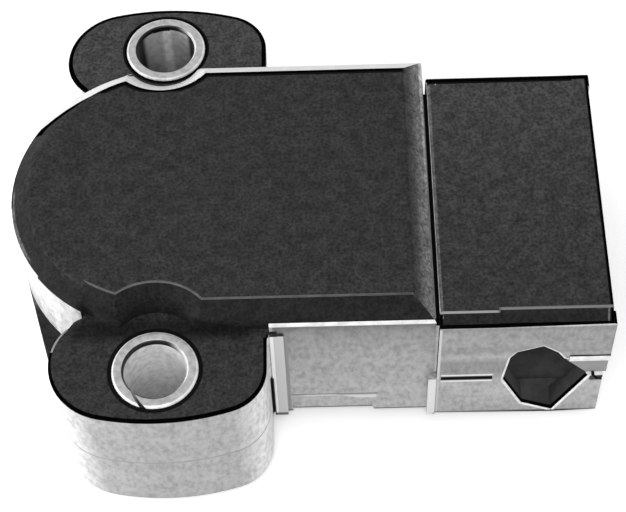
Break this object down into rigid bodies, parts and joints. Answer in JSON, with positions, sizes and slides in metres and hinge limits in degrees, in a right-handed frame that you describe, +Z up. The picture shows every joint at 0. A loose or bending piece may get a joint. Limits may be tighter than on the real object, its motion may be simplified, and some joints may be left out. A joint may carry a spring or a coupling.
{
  "type": "throttle position sensor",
  "caption": "Rotary throttle position sensor: D-shaped moulded case with two screw ears, a side plug socket and a sprung rotor driven from below.",
  "frame": {"origin": "on the rotor's axis, midway between the two screw holes, in the plane of the ears' undersides", "axes": "+Z up along the rotor's axis, towards the case's flat top; +X towards the mouth of the plug socket; -Y towards the side with the latch window"},
  "size_m": [0.0574, 0.0486, 0.0197],
  "materials": {
    "housing_plastic": "moulded, fine grain",
    "cover_plastic": "moulded, satin",
    "seal_rubber": "matte",
    "seal_silicone": "matte",
    "sleeve_steel": "rolled and split, bright",
    "rotor_plastic": "moulded, natural colour",
    "drive_brass": "turned",
    "bush_bronze": "sintered",
    "washer_steel": "stamped",
    "spring_steel": "drawn wire",
    "contact_alloy": "stamped, bright",
    "brush_alloy": "polished tips",
    "board_ceramic": "fired ceramic, matte",
    "track_ink": "printed carbon ink",
    "silver_ink": "printed silver ink",
    "terminal_tin": "tinned brass"
  },
  "bodies": {
    "case": {"housing": "housing_plastic", "base_cover": "cover_plastic", "cover_seal": "seal_silicone", "flange_gasket": "seal_rubber", "front_sleeve": "sleeve_steel", "rear_sleeve": "sleeve_steel", "pivot_bush": "bush_bronze", "rotor_seal": "seal_rubber", "thrust_washer": "washer_steel", "return_spring": "spring_steel", "resistor_board": "board_ceramic", "resistive_track": "track_ink", "collector_track": "silver_ink", "board_traces": "silver_ink", "supply_terminal": "terminal_tin", "signal_terminal": "terminal_tin", "ground_terminal": "terminal_tin"},
    "rotor": {"rotor": "rotor_plastic", "drive_bush": "drive_brass", "wiper_spring": "contact_alloy", "track_brush": "brush_alloy", "collector_brush": "brush_alloy"}
  },
  "joints": [
    {"name": "rotor_turn", "type": "hinge", "parent": "case", "child": "rotor", "pos_m": [0, 0, 0.008], "axis": [0, 0, 1], "range_deg": [0, 100], "stiffness_Nm_per_rad": 0.006, "springref_deg": -34.38, "deforming": ["return_spring"]}
  ]
}
